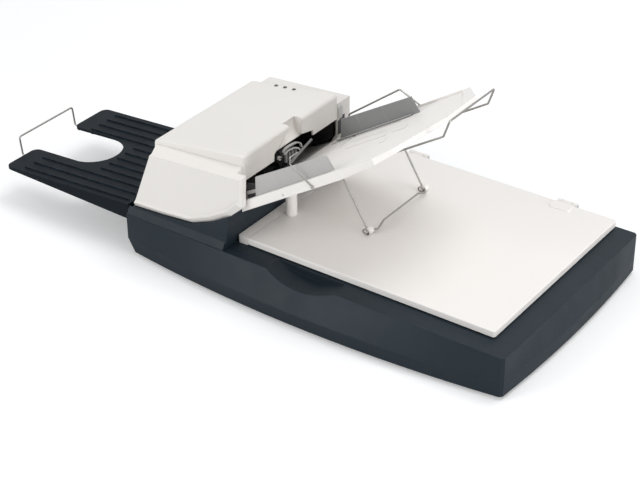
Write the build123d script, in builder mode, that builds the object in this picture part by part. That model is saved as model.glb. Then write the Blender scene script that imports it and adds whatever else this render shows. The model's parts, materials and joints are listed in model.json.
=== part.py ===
from build123d import *
import os

os.makedirs("parts", exist_ok=True)

# Document scanner with a flatbed, a sheet feeder and a sloping paper tray.
# Origin at the middle of the footprint on the table, X to the right along the
# long side, Y to the rear, Z up. The feeder stands at the left end.


def save(piece, name):
    piece.part.label = name
    export_step(piece.part, "parts/" + name + ".step")


# General fits
wall = 3
run_fit = 0.05
slide_gap = 0.4
through = 800

# Base
base_left = -340
base_right = 340
base_front = -200
base_rear = 200
foot_height = 6
seam_height = 27
base_top = 70
front_bulge = 27
end_bulge = 9
pan_inset_left = 15
corner_cut = 4
scoop_x = -5
scoop_half = 62
scoop_depth = 13
foot_radius = 14
foot_inset_x = 42
foot_inset_y = 45

# Flatbed
glass_length = 420
glass_width = 305
glass_thick = 3
glass_x = 88
glass_y = 14
window_lap = 6
strip_width = 10
cover_left = -128
sill_left = -147
sill_gap = 0.6
cover_right = 304
cover_front = -165
cover_rear = 199
cover_low = 72
cover_high = 82
pad_thick = 4.4
pad_gap = 2.5
hinge_y = 207
hinge_z = 77
hinge_pin_radius = 2.5
hinge_barrel_radius = 5
hinge_x_left = -60
hinge_x_right = 215
hinge_width = 34

# Scanning carriage
carriage_home = base_left + 240
carriage_width = 52
carriage_span = 330
carriage_low = 26
carriage_high = 61
rod_y = -100
rod_z = 34
rod_radius = 4
rail_y = 120
pulley_radius = 8
pulley_height = 8
pulley_y = 178
pulley_z = 40
drive_pulley_x = base_left + 180
idler_pulley_x = base_right - 22
belt_thick = 1.4
belt_width = 6
motor_side = 42
motor_height = 24

# Feeder body
feeder_front = -195
feeder_rear = 112
feeder_face = -130
roof_front = -168
roof_rear = 75
cap_bevel = 7
mouth_low = 149
mouth_high = 181
roof_pivot_x = -289
roof_pivot_z = 152
roof_pin_radius = 3

# Rollers
pick_x = -146
pick_y = -52
pick_radius = 12
feed_x = -180
feed_radius = 10
exit_x = -300
exit_radius = 8
shaft_radius = 3

# Input tray
tray_left = -126.5
tray_front = -177.5
tray_rear = 92
tray_under_z = 135.5
tray_pin_radius = 3
guide_rear_y = 48
guide_thick = 3
wire_radius = 1.5
hold_wire_radius = 1

# Output tray
out_tip_x = -605
out_front = -195
out_rear = 49
out_root_z = 85
out_fall = 16
out_skirt = 27
out_plate = 3
rib_count = 12
rib_height = 2


# Outline of the base at one height: bowed front and right end, straight rear
def base_outline(left, right, front, rear, bulge, bow):
    nose = front - bulge
    with BuildSketch() as outline:
        with BuildLine():
            a = ThreePointArc((left, front), ((left + right) / 2, nose), (right - corner_cut, front))
            b = Line(a @ 1, (right, front + corner_cut))
            c = ThreePointArc(b @ 1, (right + bow, (front + rear) / 2), (right, rear - corner_cut))
            d = Line(c @ 1, (right - corner_cut, rear))
            e = Line(d @ 1, (left, rear))
            Line(e @ 1, a @ 0)
        make_face()
    return outline.sketch


# Upper shell
scoop_radius = (scoop_half**2 + scoop_depth**2) / (2 * scoop_depth)
scoop_reach = 30
with BuildPart() as shell_cavity:
    with BuildSketch(Plane.XY.offset(seam_height)):
        add(
            base_outline(
                base_left + wall, base_right - wall, base_front + wall, base_rear - wall,
                front_bulge - 9, end_bulge,
            )
        )
    with BuildSketch(Plane.XY.offset(base_top - wall)):
        add(
            base_outline(
                base_left + wall, base_right - wall, base_front + wall + 2, base_rear - wall, 0.5,
                0.5,
            )
        )
    loft(ruled=True)
    with Locations((scoop_x, base_front, base_top - scoop_depth + scoop_radius)):
        Cylinder(
            scoop_radius + wall, 2 * scoop_reach + 2 * wall, rotation=(90, 0, 0),
            mode=Mode.SUBTRACT,
        )

window_x = glass_length / 2 - window_lap
window_y = glass_width / 2 - window_lap
inlet_x = base_left + 50
port_x = base_left + 105
switch_x = base_left + 140
socket_z = 47
bracket_xs = (hinge_x_left, hinge_x_right)

with BuildPart() as base_shell:
    with BuildSketch(Plane.XY.offset(seam_height)):
        add(base_outline(base_left, base_right, base_front, base_rear, front_bulge, end_bulge))
    with BuildSketch(Plane.XY.offset(base_top)):
        add(base_outline(base_left, base_right, base_front, base_rear, 0.5, 0.5))
    loft(ruled=True)
    with Locations((scoop_x, base_front, base_top - scoop_depth + scoop_radius)):
        Cylinder(scoop_radius, 2 * scoop_reach, rotation=(90, 0, 0), mode=Mode.SUBTRACT)
    add(shell_cavity.part, mode=Mode.SUBTRACT)
    with Locations((glass_x, glass_y, base_top - wall)):
        Box(2 * window_x, 2 * window_y, 3 * wall, mode=Mode.SUBTRACT)
    with Locations((inlet_x, base_rear, socket_z)):
        Box(28, 20, 22, mode=Mode.SUBTRACT)
    with Locations((port_x, base_rear, socket_z)):
        Box(13, 20, 12, mode=Mode.SUBTRACT)
    with Locations((switch_x, base_rear, socket_z)):
        Box(20, 20, 14, mode=Mode.SUBTRACT)
save(base_shell, "base_shell")

# Lower pan: set in at the left end, with bosses for the boards, stands for the
# guide rod, a rail and the post of the idler pulley
with BuildPart() as pan_cavity:
    with BuildSketch(Plane.XY.offset(foot_height + wall)):
        add(
            base_outline(
                base_left + pan_inset_left + wall, base_right - wall - 2, base_front + wall + 4,
                base_rear - wall, front_bulge - 10, end_bulge,
            )
        )
    with BuildSketch(Plane.XY.offset(seam_height)):
        add(
            base_outline(
                base_left + 2 * wall, base_right - wall, base_front + wall, base_rear - wall,
                front_bulge - 8, end_bulge,
            )
        )
    loft(ruled=True)

board_x = base_left + 86
board_y = -30
board_length = 130
board_depth = 250
board_z = foot_height + wall + 6
supply_x = board_x
supply_y = base_rear - 50
rod_left = base_left + 171
rod_right = base_right - 12
rod_length = rod_right - rod_left
rod_x = (rod_left + rod_right) / 2
pan_floor = foot_height + wall
pulley_bore = 2.5
idler_foot = pulley_z - pulley_height / 2 - slide_gap - pan_floor

with BuildPart() as base_pan:
    with BuildSketch(Plane.XY.offset(foot_height)):
        add(
            base_outline(
                base_left + pan_inset_left, base_right, base_front - 2, base_rear, front_bulge - 4,
                end_bulge,
            )
        )
    with BuildSketch(Plane.XY.offset(seam_height)):
        add(base_outline(base_left, base_right, base_front, base_rear, front_bulge, end_bulge))
    loft(ruled=True)
    add(pan_cavity.part, mode=Mode.SUBTRACT)
    with Locations((board_x, board_y, foot_height + wall)):
        with GridLocations(board_length - 16, board_depth - 16, 2, 2):
            Cylinder(4, board_z - foot_height - wall, align=(Align.CENTER, Align.CENTER, Align.MIN))
    with Locations((supply_x, supply_y, foot_height + wall)):
        with GridLocations(board_length - 16, 60, 2, 2):
            Cylinder(4, board_z - foot_height - wall, align=(Align.CENTER, Align.CENTER, Align.MIN))
    for x in (rod_x - rod_length / 2 + 5, rod_x + rod_length / 2 - 5):
        with Locations((x, rod_y, pan_floor)):
            Box(8, 20, rod_z - pan_floor + 8, align=(Align.CENTER, Align.CENTER, Align.MIN))
    with Locations((rod_x, rod_y, rod_z)):
        Cylinder(rod_radius, rod_length, rotation=(0, 90, 0), mode=Mode.SUBTRACT)
    with Locations((rod_x, rail_y, pan_floor)):
        Box(rod_length, 12, carriage_low - pan_floor - 1, align=(Align.CENTER, Align.CENTER, Align.MIN))
    with Locations((idler_pulley_x, pulley_y, pan_floor)):
        Box(16, 22, idler_foot, align=(Align.CENTER, Align.CENTER, Align.MIN))
        Cylinder(
            pulley_bore, pulley_z + pulley_height / 2 + 2 - pan_floor,
            align=(Align.CENTER, Align.CENTER, Align.MIN),
        )
save(base_pan, "base_pan")

# Feet: four at the corners and one in the middle
with BuildPart() as feet:
    with Locations((0, 0, 0)):
        Cylinder(foot_radius, foot_height, align=(Align.CENTER, Align.CENTER, Align.MIN))
    for x in (base_left + foot_inset_x, base_right - foot_inset_x):
        for y in (base_front + foot_inset_y, base_rear - foot_inset_y):
            with Locations((x, y, 0)):
                Cylinder(foot_radius, foot_height, align=(Align.CENTER, Align.CENTER, Align.MIN))
    chamfer(feet.faces().filter_by(Axis.Z).group_by(Axis.Z)[0].edges(), 1)
save(feet, "feet")

# Platen glass with its white reference strip, both held under the top wall
glass_z = base_top - wall - glass_thick
with BuildPart() as platen_glass:
    with Locations((glass_x, glass_y, glass_z)):
        Box(glass_length, glass_width, glass_thick, align=(Align.CENTER, Align.CENTER, Align.MIN))
save(platen_glass, "platen_glass")

with BuildPart() as reference_strip:
    with Locations((glass_x - glass_length / 2 - strip_width / 2 - 2, glass_y, base_top - wall - 1)):
        Box(strip_width, glass_width, 1, align=(Align.CENTER, Align.CENTER, Align.MIN))
save(reference_strip, "reference_strip")

# Hinge brackets behind the base
with BuildPart() as hinge_brackets:
    for x in bracket_xs:
        with Locations((x, base_rear, base_top - 22)):
            Box(hinge_width, hinge_y - base_rear + 4, 20, align=(Align.CENTER, Align.MIN, Align.MIN))
        for side in (-1, 1):
            with BuildSketch(Plane.YZ.offset(x + side * (hinge_width / 2 - 4) - 4)):
                with Locations((hinge_y, hinge_z)):
                    Circle(hinge_barrel_radius)
                with Locations((hinge_y, (hinge_z + base_top - 4) / 2)):
                    Rectangle(2 * hinge_barrel_radius, hinge_z - base_top + 4)
            extrude(amount=8)
    for x in bracket_xs:
        with Locations((x, hinge_y, hinge_z)):
            Cylinder(hinge_pin_radius, 4 * hinge_width, rotation=(0, 90, 0), mode=Mode.SUBTRACT)
save(hinge_brackets, "hinge_brackets")

with BuildPart() as hinge_pins:
    for x in bracket_xs:
        with Locations((x, hinge_y, hinge_z)):
            Cylinder(hinge_pin_radius, hinge_width, rotation=(0, 90, 0))
    for y in (roof_front - 1, roof_rear + 1):
        with Locations((roof_pivot_x, y, roof_pivot_z)):
            Cylinder(roof_pin_radius, 8, rotation=(90, 0, 0))
save(hinge_pins, "hinge_pins")

# Document cover: hollow slab with a low bump over the right hinge
cover_middle = (cover_left + cover_right) / 2
cover_centre_y = (cover_front + cover_rear) / 2
cover_length = cover_right - cover_left
cover_width = cover_rear - cover_front
cover_thick = cover_high - cover_low
knuckle = hinge_width - 16.8
low_centre = (Align.CENTER, Align.CENTER, Align.MIN)
with BuildPart() as hinge_bump:
    with Locations((hinge_x_right, cover_rear - 12, cover_high - 1)):
        Box(36, 22, 3.5, align=low_centre)
    fillet(hinge_bump.edges().filter_by(Axis.Z), 5)
    fillet(hinge_bump.faces().sort_by(Axis.Z)[-1].edges(), 2)
with BuildPart() as document_cover:
    with Locations((cover_middle, cover_centre_y, cover_low)):
        Box(cover_length, cover_width, cover_thick, align=low_centre)
    fillet(document_cover.edges().filter_by(Axis.Z).sort_by(Axis.X)[-2:], 4)
    fillet(document_cover.faces().sort_by(Axis.Z)[-1].edges().sort_by(Axis.X)[1:], 1.5)
    with Locations((cover_middle, cover_centre_y, cover_low)):
        Box(cover_length - 2 * wall, cover_width - 2 * wall, 2, align=low_centre, mode=Mode.SUBTRACT)
    add(hinge_bump.part)
    for x in bracket_xs:
        with Locations((x, cover_rear - 1, cover_low + 2)):
            Box(knuckle, hinge_y - cover_rear + 1, 6, align=(Align.CENTER, Align.MIN, Align.MIN))
        with Locations((x, hinge_y, hinge_z)):
            Cylinder(hinge_barrel_radius, knuckle, rotation=(0, 90, 0))
    for x in bracket_xs:
        with Locations((x, hinge_y, hinge_z)):
            Cylinder(hinge_pin_radius + run_fit, hinge_width, rotation=(0, 90, 0), mode=Mode.SUBTRACT)
save(document_cover, "document_cover")

# Fixed sill between the feeder and the cover, level with the cover
with BuildPart() as cover_sill:
    with Locations((sill_left, cover_centre_y, base_top)):
        Box(
            cover_left - sill_gap - sill_left,
            cover_width,
            cover_high - base_top,
            align=(Align.MIN, Align.CENTER, Align.MIN),
        )
    fillet(cover_sill.edges().filter_by(Axis.Z).sort_by(Axis.X)[:2], 4)
    fillet(cover_sill.faces().sort_by(Axis.Z)[-1].edges().sort_by(Axis.X)[:-1], 1.5)
save(cover_sill, "cover_sill")

with BuildPart() as cover_pad:
    with Locations((glass_x, glass_y, cover_low + 2)):
        Box(
            2 * window_x - 2 * pad_gap, 2 * window_y - 2 * pad_gap, pad_thick + 2,
            align=(Align.CENTER, Align.CENTER, Align.MAX),
        )
save(cover_pad, "cover_pad")

with BuildPart() as cover_bumpers:
    for x in (cover_left + 12, cover_right - 12):
        with Locations((x, cover_front + 12, base_top)):
            Cylinder(4, cover_low + 2 - base_top, align=(Align.CENTER, Align.CENTER, Align.MIN))
save(cover_bumpers, "cover_bumpers")


# Guide rod for the carriage
with BuildPart() as guide_rod:
    with Locations((rod_x, rod_y, rod_z)):
        Cylinder(rod_radius, rod_length, rotation=(0, 90, 0))
save(guide_rod, "guide_rod")

# Carriage with its lamp, lens block and belt clip
carriage_height = carriage_high - carriage_low
with BuildPart() as carriage:
    with Locations((carriage_home, 0, carriage_low)):
        Box(
            carriage_width, carriage_span, carriage_height,
            align=(Align.CENTER, Align.CENTER, Align.MIN),
        )
    fillet(carriage.edges().filter_by(Axis.Z), 4)
    with Locations((carriage_home, 0, carriage_high)):
        Box(
            carriage_width - 8, carriage_span - 8, carriage_height - 12,
            align=(Align.CENTER, Align.CENTER, Align.MAX), mode=Mode.SUBTRACT,
        )
    with Locations((carriage_home, rail_y, carriage_low)):
        Box(carriage_width - 20, 8, 1, align=(Align.CENTER, Align.CENTER, Align.MAX))
    with Locations((carriage_home, rod_y, rod_z)):
        Box(carriage_width, 16, 16)
        Cylinder(rod_radius + run_fit, carriage_width + 2, rotation=(0, 90, 0), mode=Mode.SUBTRACT)
    with Locations((carriage_home, carriage_span / 2 - 2, pulley_z)):
        Box(
            18, pulley_y - pulley_radius - belt_thick - carriage_span / 2 + 2 - slide_gap,
            belt_width, align=(Align.CENTER, Align.MIN, Align.CENTER),
        )
save(carriage, "carriage")

carriage_floor = carriage_low + 12
with BuildPart() as carriage_lamp:
    with Locations((carriage_home - 14, 0, carriage_high - 8)):
        Cylinder(3, carriage_span - 8, rotation=(90, 0, 0))
save(carriage_lamp, "carriage_lamp")

with BuildPart() as carriage_optics:
    with Locations((carriage_home + 8, 0, carriage_floor)):
        Box(20, 60, 12, align=(Align.CENTER, Align.CENTER, Align.MIN))
    with Locations((carriage_home + 8, 0, carriage_floor + 12)):
        Cylinder(7, 6, align=(Align.CENTER, Align.CENTER, Align.MIN))
    for y_side in (-1, 1):
        with Locations((carriage_home + 6, y_side * 62, carriage_floor)):
            Box(4, 56, 9, align=(Align.CENTER, Align.CENTER, Align.MIN))
save(carriage_optics, "carriage_optics")

# Toothed belt, its two pulleys and the stepper motor under the drive pulley
belt_inner = pulley_radius + 0.35
belt_span = idler_pulley_x - drive_pulley_x
with BuildPart() as carriage_belt:
    with BuildSketch(Plane.XY.offset(pulley_z - belt_width / 2)):
        with Locations(((idler_pulley_x + drive_pulley_x) / 2, pulley_y)):
            SlotCenterToCenter(belt_span, 2 * (belt_inner + belt_thick))
            SlotCenterToCenter(belt_span, 2 * belt_inner, mode=Mode.SUBTRACT)
    extrude(amount=belt_width)
save(carriage_belt, "carriage_belt")

with BuildPart() as drive_pulley:
    with Locations((drive_pulley_x, pulley_y, pulley_z)):
        Cylinder(pulley_radius, pulley_height)
        with PolarLocations(pulley_radius, 12):
            Box(1.2, 1.2, pulley_height + 2, mode=Mode.SUBTRACT)
    with Locations((drive_pulley_x, pulley_y, pulley_z - pulley_height / 2)):
        Cylinder(pulley_bore, 6, align=(Align.CENTER, Align.CENTER, Align.MAX))
save(drive_pulley, "drive_pulley")

with BuildPart() as idler_pulley:
    with Locations((idler_pulley_x, pulley_y, pulley_z)):
        Cylinder(pulley_radius, pulley_height)
        Cylinder(pulley_bore + run_fit, pulley_height, mode=Mode.SUBTRACT)
        with PolarLocations(pulley_radius, 12):
            Box(1.2, 1.2, pulley_height + 2, mode=Mode.SUBTRACT)
save(idler_pulley, "idler_pulley")

with BuildPart() as stepper_motor:
    with Locations((drive_pulley_x, pulley_y - 6, pan_floor)):
        Box(motor_side, motor_side, motor_height, align=(Align.CENTER, Align.CENTER, Align.MIN))
    fillet(stepper_motor.edges().filter_by(Axis.Z), 4)
    with Locations((drive_pulley_x, pulley_y, pan_floor + motor_height)):
        Cylinder(
            pulley_bore + run_fit, 8, align=(Align.CENTER, Align.CENTER, Align.MAX),
            mode=Mode.SUBTRACT,
        )
save(stepper_motor, "stepper_motor")

# Boards with their parts, and the sockets and switch in the rear wall
with BuildPart() as circuit_boards:
    with Locations((board_x, board_y, board_z)):
        Box(board_length, board_depth, 1.6, align=(Align.CENTER, Align.CENTER, Align.MIN))
    with Locations((supply_x, supply_y - 8, board_z)):
        Box(board_length, 72, 1.6, align=(Align.CENTER, Align.CENTER, Align.MIN))
save(circuit_boards, "circuit_boards")

with BuildPart() as board_parts:
    with Locations((board_x, board_y, board_z + 1.6)):
        with GridLocations(0, 80, 1, 3):
            Box(28, 28, 3, align=(Align.CENTER, Align.CENTER, Align.MIN))
        with GridLocations(96, 60, 2, 4):
            Cylinder(4, 12, align=(Align.CENTER, Align.CENTER, Align.MIN))
    with Locations((supply_x - 20, supply_y - 18, board_z + 1.6)):
        Box(34, 30, 24, align=(Align.CENTER, Align.CENTER, Align.MIN))
    with Locations((supply_x + 25, supply_y - 18, board_z + 1.6)):
        Cylinder(9, 26, align=(Align.CENTER, Align.CENTER, Align.MIN))
save(board_parts, "board_parts")

with BuildPart() as power_inlet:
    with Locations((inlet_x, base_rear - 18, socket_z)):
        Box(28, 21, 22, align=(Align.CENTER, Align.MIN, Align.CENTER))
    fillet(power_inlet.edges().filter_by(Axis.Y), 2)
    with Locations((inlet_x, base_rear + 3, socket_z)):
        Box(23, 15, 17, align=(Align.CENTER, Align.MAX, Align.CENTER), mode=Mode.SUBTRACT)
    with Locations((inlet_x, base_rear - 14, socket_z)):
        with Locations((-6, 0, -2), (0, 0, 3), (6, 0, -2)):
            Box(2, 12, 4, align=(Align.CENTER, Align.MIN, Align.CENTER))
save(power_inlet, "power_inlet")

with BuildPart() as data_port:
    with Locations((port_x, base_rear - 16, socket_z)):
        Box(13, 18, 12, align=(Align.CENTER, Align.MIN, Align.CENTER))
    with Locations((port_x, base_rear + 2, socket_z)):
        Box(9, 10, 8, align=(Align.CENTER, Align.MAX, Align.CENTER), mode=Mode.SUBTRACT)
    with Locations((port_x, base_rear - 9, socket_z)):
        Box(4, 9, 3, align=(Align.CENTER, Align.MIN, Align.CENTER))
save(data_port, "data_port")

with BuildPart() as switch_frame:
    with Locations((switch_x, base_rear - 14, socket_z)):
        Box(20, 16, 14, align=(Align.CENTER, Align.MIN, Align.CENTER))
    with Locations((switch_x, base_rear + 2, socket_z)):
        Box(16, 12, 10, align=(Align.CENTER, Align.MAX, Align.CENTER), mode=Mode.SUBTRACT)
    with Locations((switch_x, base_rear - 2, socket_z)):
        Cylinder(1.5, 12)
save(switch_frame, "switch_frame")

with BuildPart() as power_switch:
    with BuildSketch(Plane.XY.offset(socket_z - 4.6)):
        with BuildLine():
            Polyline(
                (switch_x - 7, base_rear + 5), (switch_x, base_rear + 1.5),
                (switch_x + 7, base_rear + 2), (switch_x + 6, base_rear - 4),
                (switch_x - 6, base_rear - 4), close=True,
            )
        make_face()
    extrude(amount=9.2)
    with Locations((switch_x, base_rear - 2, socket_z)):
        Cylinder(1.5 + run_fit, 20, mode=Mode.SUBTRACT)
save(power_switch, "power_switch")


# Pedestal under the feeder: its top follows the lower edge of the side caps
under_edge = ((-331.5, 83), (-274.7, 86.2), (-215, 91.7), (-175.3, 108.1), (-140, 129))


roller_ys = (-88, -52, -16)
pinch_radius = 6
pinch_length = roller_ys[-1] - roller_ys[0] + 50
pinch_shaft = 1.5
nip_gap = 0.3
feed_z = 126
exit_z = 101.5
scan_x = -232
path_middle = (roof_front + roof_rear) / 2
lower_scan_top = 98.5
upper_scan_low = 102


def profile_face(points, y):
    with BuildSketch(Plane.XZ.offset(-y)) as face:
        with BuildLine():
            Polyline(*points, close=True)
        make_face()
    return face.sketch


skirt_top = 82
skirt_right = -150
with BuildPart() as pedestal:
    with BuildSketch(Plane.XZ.offset(-feeder_front - 2)):
        with BuildLine():
            Polyline(
                (base_left + 1, base_top), (-150, base_top), (-146, 89), *under_edge[::-1],
                close=True,
            )
        make_face()
    extrude(amount=-(feeder_rear - feeder_front - 4))
    with BuildSketch(Plane.XZ.offset(-feeder_front - 2 - wall)):
        with BuildLine():
            Polyline(
                (base_left + 1 + wall, base_top), (-154, base_top), (-151, 89), (-146, 121),
                (-177, 104), (-217, 88), (-276, 83), (-327, 80), close=True,
            )
        make_face()
    extrude(amount=-(feeder_rear - feeder_front - 4 - 2 * wall), mode=Mode.SUBTRACT)
    with BuildSketch(Plane.YZ.offset(base_left + 1)):
        with BuildLine():
            Polyline(
                (feeder_front + 3, base_top), (base_front + 0.5, base_top),
                (feeder_front + 2, skirt_top), (feeder_front + 3, skirt_top), close=True,
            )
        make_face()
    extrude(amount=skirt_right - base_left - 1)
    for x, z in ((feed_x, 106), (exit_x, 84)):
        with Locations((x, path_middle, z)):
            Box(2 * pinch_radius + 4, pinch_length + 2, 24, mode=Mode.SUBTRACT)
    with Locations((scan_x, path_middle, lower_scan_top)):
        Box(26, 220, 60, mode=Mode.SUBTRACT)
save(pedestal, "pedestal")

# Front side cap: bevelled front face, top rising back to the roof
cap_front = (
    (-327, 93), (-275, 95.5), (-219, 100), (-179, 117), (-146, 136), (-125, 156), (-122, 196),
    (-291, 185.3),
)
cap_edge = (
    (-331.5, 83), (-274.7, 86.2), (-215, 91.7), (-175.3, 108.1), (-140, 129), (-117, 150),
    (-115, 199), (-290, 187.5),
)
cap_back = (
    (-331.5, 83), (-274.7, 86.2), (-215, 91.7), (-175.3, 108.1), (-140, 129), (-117, 150),
    (-114, 208), (-296, 194),
)
cap_hole = (
    (-326, 87), (-274, 90.5), (-216, 96), (-178, 112), (-146, 131), (-134, 144), (-134, 190),
    (-285, 180),
)
field_line = ((-345, 91.5), (-275, 95.5), (-218, 101), (-181, 117.5), (-147, 137), (-100, 181))
field_depth = 3
field_slope = 4
cap_top = 230


def cap_field(rise):
    lower = [(x, z + rise) for x, z in field_line]
    return (*lower, (field_line[-1][0], cap_top), (field_line[0][0], cap_top))


with BuildPart() as front_cap:
    for first, first_y, second, second_y in (
        (cap_front, feeder_front, cap_edge, feeder_front + cap_bevel),
        (cap_edge, feeder_front + cap_bevel, cap_back, roof_front),
    ):
        add(profile_face(first, first_y))
        add(profile_face(second, second_y))
        loft(ruled=True)
    with BuildPart(mode=Mode.SUBTRACT):
        add(profile_face(cap_field(0), feeder_front - 0.1))
        add(profile_face(cap_field(field_slope), feeder_front + field_depth))
        loft(ruled=True)
    add(profile_face(cap_hole, roof_front))
    extrude(amount=roof_front - feeder_front - 7 - field_depth, dir=(0, -1, 0), mode=Mode.SUBTRACT)
    with Locations((feeder_face - 1, feeder_front + 15, 80)):
        Box(40, 40, 150, align=(Align.MIN, Align.MIN, Align.MIN), mode=Mode.SUBTRACT)
save(front_cap, "front_cap")

# Rear side cap: lower than the roof, behind it
peg_y = 82
peg_z = 190
peg_height = 22
peg_width = 11
peg_reach = 1.2
rear_low = (
    (-331.5, 83), (-274.7, 86.2), (-215, 91.7), (-175.3, 108.1), (-140, 129), (feeder_face, 150),
    (feeder_face, 207), (-288, 196),
)
rear_hole = (
    (-326, 87), (-274, 90.5), (-216, 96), (-178, 112), (-146, 131), (-134, 152), (-134, 200),
    (-283, 189),
)
with BuildPart() as rear_cap:
    add(profile_face(rear_low, roof_rear))
    extrude(amount=feeder_rear - roof_rear, dir=(0, 1, 0))
    fillet(rear_cap.edges().filter_by(GeomType.LINE).group_by(Axis.Y)[-1].sort_by(Axis.Z)[-3:], 5)
    add(profile_face(rear_hole, roof_rear))
    extrude(amount=feeder_rear - roof_rear - wall, dir=(0, 1, 0), mode=Mode.SUBTRACT)
    with BuildSketch(Plane.YZ.offset(feeder_face - 5)):
        with Locations((peg_y, peg_z)):
            SlotOverall(peg_height, peg_width, rotation=90)
    extrude(amount=10, mode=Mode.SUBTRACT)
save(rear_cap, "rear_cap")

# Paper bed between the caps and the panel above the exit slot, then the two
# inner plates that carry the shafts
plate_thick = 4
feed_pinch_z = feed_z - feed_radius - nip_gap - pinch_radius
exit_pinch_z = exit_z - exit_radius - nip_gap - pinch_radius
with BuildPart() as paper_bed:
    with BuildSketch(Plane.XZ.offset(-roof_front)):
        with BuildLine():
            Polyline(
                *under_edge, (feeder_face, 137.5), (feeder_face, mouth_low - 6), (-175, 117),
                (-215, 100), (-280, 94), (-331, 89.5), close=True,
            )
        make_face()
    extrude(amount=-(roof_rear - roof_front))
    for x, z in ((feed_x, feed_pinch_z), (exit_x, exit_pinch_z)):
        with Locations((x, path_middle, z)):
            Box(6, pinch_length, 9, mode=Mode.ADD)
        for y in roller_ys:
            with Locations((x, y, z)):
                Box(2 * pinch_radius + 4, 24, 30, mode=Mode.SUBTRACT)
        with Locations((x, path_middle, z)):
            Cylinder(pinch_shaft + run_fit, pinch_length, rotation=(90, 0, 0), mode=Mode.SUBTRACT)
    with Locations((scan_x, path_middle, lower_scan_top)):
        Box(24, 218, 60, mode=Mode.SUBTRACT)
    with BuildSketch(Plane.XZ.offset(-roof_front)):
        with BuildLine():
            Polyline((-323, 104), (-307, 144), (-304, 144), (-320, 104), close=True)
        make_face()
    extrude(amount=-(roof_rear - roof_front))
save(paper_bed, "paper_bed")

side_plate = (
    (-322, 95), (-268, 97), (-215, 102), (-178, 119), (-146, 138), (-140, 146), (-140, 180),
    (-280, 176),
)
with BuildPart() as side_plates:
    add(profile_face(side_plate, roof_front))
    extrude(amount=plate_thick, dir=(0, -1, 0))
    add(profile_face(side_plate, roof_rear))
    extrude(amount=plate_thick, dir=(0, 1, 0))
    for x, z in ((feed_x, feed_z), (exit_x, exit_z)):
        with Locations((x, 0, z)):
            Cylinder(shaft_radius + run_fit, through, rotation=(90, 0, 0), mode=Mode.SUBTRACT)
    with Locations((roof_pivot_x, 0, roof_pivot_z)):
        Cylinder(roof_pin_radius, through, rotation=(90, 0, 0), mode=Mode.SUBTRACT)
save(side_plates, "side_plates")

# Driven rollers on shafts through the side plates, joined by a belt at the front
shaft_length = roof_rear - roof_front + 2 * plate_thick
belt_y = roof_front - plate_thick - 5


def driven_roller(x, z, radius):
    with BuildPart() as bar:
        with Locations((x, path_middle, z)):
            Cylinder(shaft_radius, shaft_length + 16, rotation=(90, 0, 0))
        for y in roller_ys:
            with Locations((x, y, z)):
                Cylinder(radius, 20, rotation=(90, 0, 0))
        with Locations((x, belt_y, z)):
            Cylinder(pulley_radius, 5, rotation=(90, 0, 0))
    return bar.part


def pinch_roller(x, z):
    with BuildPart() as bar:
        with Locations((x, path_middle - 0.5, z)):
            Cylinder(pinch_shaft, pinch_length - 1, rotation=(90, 0, 0))
        for y in roller_ys:
            with Locations((x, y, z)):
                Cylinder(pinch_radius, 20, rotation=(90, 0, 0))
    return bar.part


with BuildPart() as feed_roller:
    add(driven_roller(feed_x, feed_z, feed_radius))
save(feed_roller, "feed_roller")

with BuildPart() as exit_roller:
    add(driven_roller(exit_x, exit_z, exit_radius))
save(exit_roller, "exit_roller")

with BuildPart() as feed_pinch_roller:
    add(pinch_roller(feed_x, feed_pinch_z))
save(feed_pinch_roller, "feed_pinch_roller")

with BuildPart() as exit_pinch_roller:
    add(pinch_roller(exit_x, exit_pinch_z))
save(exit_pinch_roller, "exit_pinch_roller")

belt_run = ((feed_x - exit_x) ** 2 + (feed_z - exit_z) ** 2) ** 0.5
belt_tilt = 11.54
with BuildPart() as feeder_belt:
    with BuildSketch(Plane.XZ.offset(-belt_y - 2)):
        with Locations(Location(((feed_x + exit_x) / 2, (feed_z + exit_z) / 2), belt_tilt)):
            SlotCenterToCenter(belt_run, 2 * (belt_inner + belt_thick))
            SlotCenterToCenter(belt_run, 2 * belt_inner, mode=Mode.SUBTRACT)
    extrude(amount=4)
save(feeder_belt, "feeder_belt")

with BuildPart() as feeder_motor:
    with Locations((feed_x, roof_rear + plate_thick, feed_z)):
        Cylinder(12, 24, rotation=(-90, 0, 0), align=(Align.CENTER, Align.CENTER, Align.MIN))
        Cylinder(
            shaft_radius + run_fit, 14, rotation=(-90, 0, 0),
            align=(Align.CENTER, Align.CENTER, Align.MIN), mode=Mode.SUBTRACT,
        )
save(feeder_motor, "feeder_motor")

# Release peg at the rear of the feeder's right face
with BuildPart() as release_peg:
    with BuildSketch(Plane.YZ.offset(feeder_face - 5)):
        with Locations((peg_y, peg_z)):
            SlotOverall(peg_height, peg_width, rotation=90)
    extrude(amount=5 + peg_reach)
save(release_peg, "release_peg")
# Three small indicator lenses, flush near the rear edge of the roof
roof_rise = 0.1433
lens_radius = 3
with BuildPart() as indicator_lenses:
    for x, y in ((-245, 68.4), (-226.4, 67), (-207.3, 65)):
        with Locations((x, y, 202.9 + (x + 290) * roof_rise)):
            Cylinder(lens_radius, 5, align=(Align.CENTER, Align.CENTER, Align.MAX))
save(indicator_lenses, "indicator_lenses")

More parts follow.
